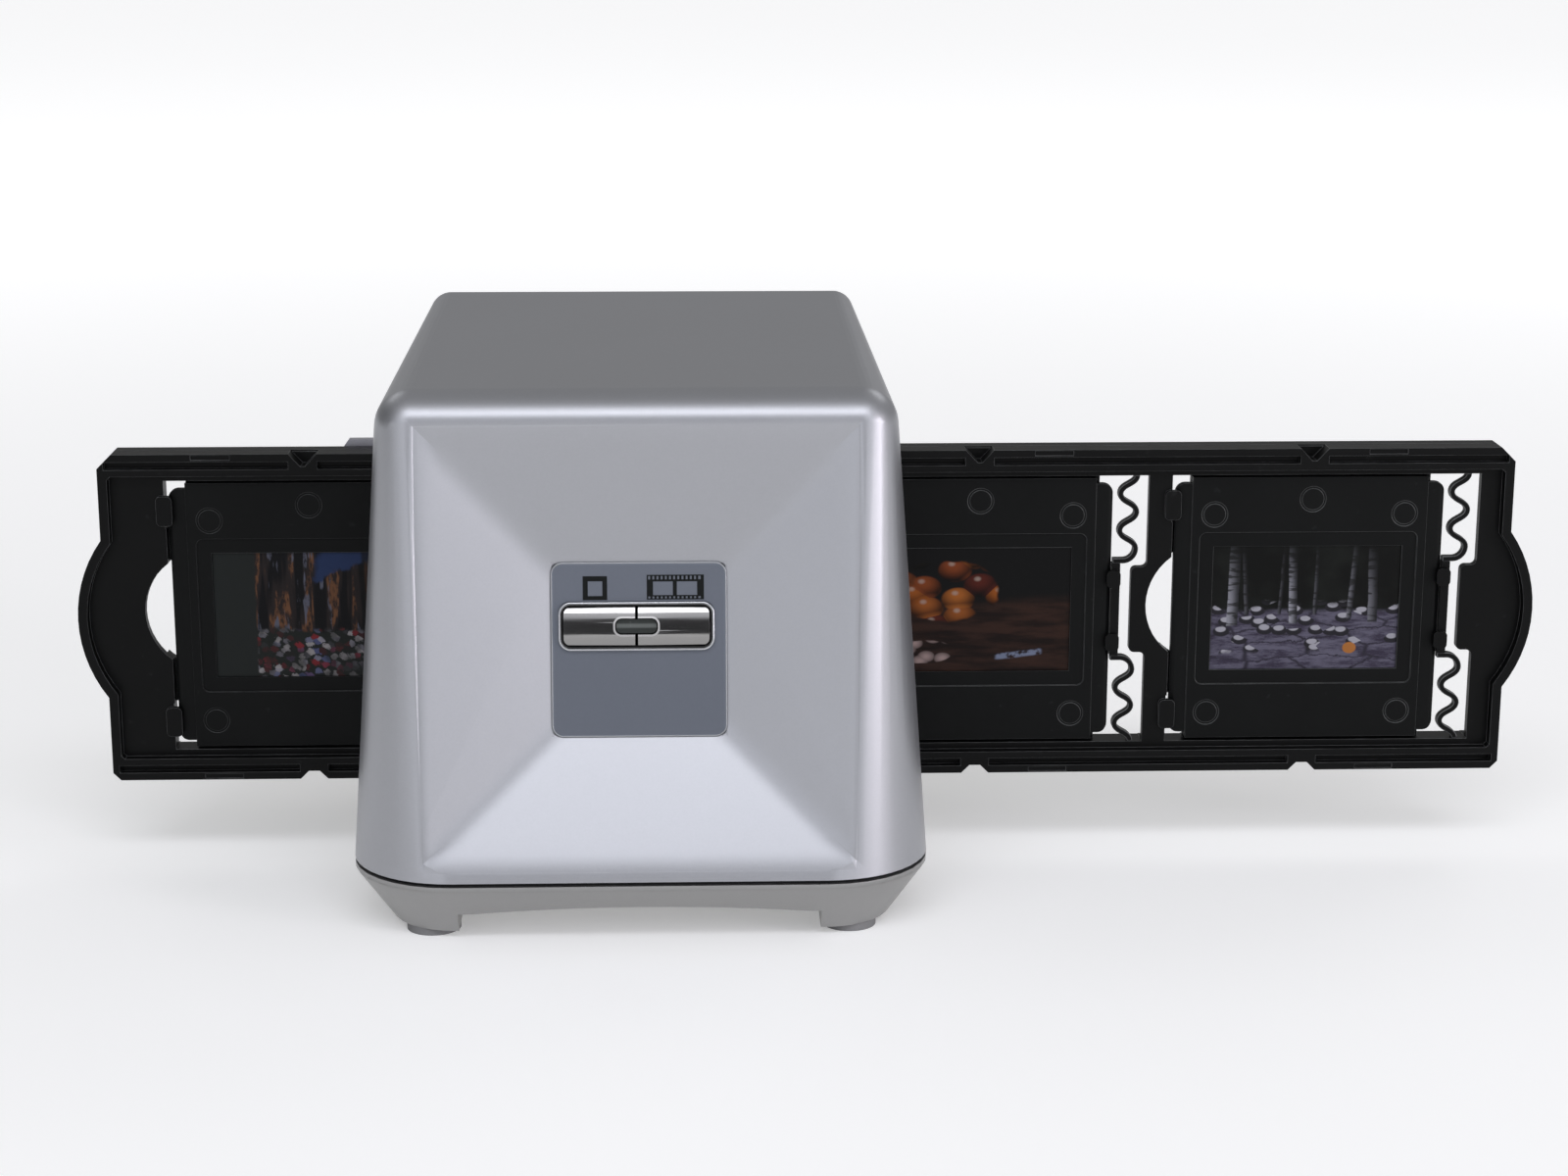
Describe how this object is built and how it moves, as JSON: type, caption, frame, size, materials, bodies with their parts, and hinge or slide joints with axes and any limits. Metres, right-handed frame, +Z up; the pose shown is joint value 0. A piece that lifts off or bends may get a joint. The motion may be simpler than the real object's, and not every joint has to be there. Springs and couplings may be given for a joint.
{
  "type": "film negative scanner",
  "caption": "Compact silver desktop film and slide scanner with a sunk square front panel, chrome rocker buttons and a long black slide tray that runs through it from side to side.",
  "frame": {"origin": "centre of the footprint's bounding box on the surface it stands on: the middle of the tray's length while its second slide is in the optics, halfway from the housing's front to its back, at the underside of the foot pads", "axes": "+X along the tray, to the user's right; +Y away from the user, from the panel to the back; +Z up"},
  "size_m": [0.2662, 0.1, 0.0995],
  "materials": {
    "silver_shell": "satin silver paint",
    "silver_base": "satin silver paint",
    "seam_rubber": "matte",
    "pad_rubber": "soft grey",
    "screw_steel": "plain",
    "badge": "satin grey-blue",
    "ring_chrome": "bright",
    "button_chrome": "bright",
    "lamp_lens": "smoked",
    "board_green": "solder mask",
    "black_plastic": "moulded",
    "chassis_plastic": "moulded",
    "spring_steel": "plain",
    "white_plastic": "diffusing",
    "led_yellow": "phosphor",
    "lens_glass": "polished",
    "sensor_glass": "glass over silicon",
    "chip_black": "moulded",
    "socket_metal": "plated",
    "flex_cable": "polyimide film",
    "tray_plastic": "satin moulded",
    "mount_plastic": "satin moulded",
    "film_1": "film",
    "film_2": "film",
    "film_3": "film",
    "film_4": "film"
  },
  "bodies": {
    "housing": {"upper_shell": "silver_shell", "base_shell": "silver_base", "seam_seal": "seam_rubber", "foot_pads": "pad_rubber", "base_screws": "screw_steel", "badge_plate": "badge", "button_ring": "ring_chrome", "status_lamp": "lamp_lens", "button_board": "board_green", "button_switches": "black_plastic", "entry_guide": "silver_base", "tray_chassis": "chassis_plastic", "detent_spring": "spring_steel", "chassis_screws": "screw_steel", "light_box": "white_plastic", "lamp_board": "board_green", "lamp_leds": "led_yellow", "diffuser_plate": "white_plastic", "lens_holder": "black_plastic", "lens_barrel": "black_plastic", "lens_glass": "lens_glass", "sensor_board": "board_green", "image_sensor": "sensor_glass", "main_board": "board_green", "board_parts": "chip_black", "usb_socket": "socket_metal", "usb_core": "white_plastic", "board_screws": "screw_steel", "sensor_cable": "flex_cable", "front_cables": "flex_cable"},
    "slide_key": {"slide_button": "button_chrome"},
    "film_key": {"film_button": "button_chrome"},
    "tray": {"tray_frame": "tray_plastic", "slide_mount_1": "mount_plastic", "slide_mount_2": "mount_plastic", "slide_mount_3": "mount_plastic", "slide_mount_4": "mount_plastic", "slide_film_1": "film_1", "slide_film_2": "film_2", "slide_film_3": "film_3", "slide_film_4": "film_4", "bar_springs_1": "tray_plastic", "bar_springs_2": "tray_plastic", "bar_springs_3": "tray_plastic", "bar_springs_4": "tray_plastic"},
    "clamp_1": {"push_bar_1": "tray_plastic"},
    "clamp_2": {"push_bar_2": "tray_plastic"},
    "clamp_3": {"push_bar_3": "tray_plastic"},
    "clamp_4": {"push_bar_4": "tray_plastic"}
  },
  "joints": [
    {"name": "tray_slide", "type": "slide", "parent": "housing", "child": "tray", "axis": [1, 0, 0], "range_m": [-0.122, 0.061]},
    {"name": "slide_key_press", "type": "slide", "parent": "housing", "child": "slide_key", "axis": [0, 0.9877, -0.1564], "range_m": [0, 0.0006], "stiffness_N_per_m": 2000},
    {"name": "film_key_press", "type": "slide", "parent": "housing", "child": "film_key", "axis": [0, 0.9877, -0.1564], "range_m": [0, 0.0006], "stiffness_N_per_m": 2000},
    {"name": "clamp_1_slide", "type": "slide", "parent": "tray", "child": "clamp_1", "axis": [1, 0, 0], "range_m": [0, 0.0015], "stiffness_N_per_m": 400, "deforming": ["bar_springs_1"]},
    {"name": "clamp_2_slide", "type": "slide", "parent": "tray", "child": "clamp_2", "axis": [1, 0, 0], "range_m": [0, 0.0015], "stiffness_N_per_m": 400, "deforming": ["bar_springs_2"]},
    {"name": "clamp_3_slide", "type": "slide", "parent": "tray", "child": "clamp_3", "axis": [1, 0, 0], "range_m": [0, 0.0015], "stiffness_N_per_m": 400, "deforming": ["bar_springs_3"]},
    {"name": "clamp_4_slide", "type": "slide", "parent": "tray", "child": "clamp_4", "axis": [1, 0, 0], "range_m": [0, 0.0015], "stiffness_N_per_m": 400, "deforming": ["bar_springs_4"]}
  ]
}
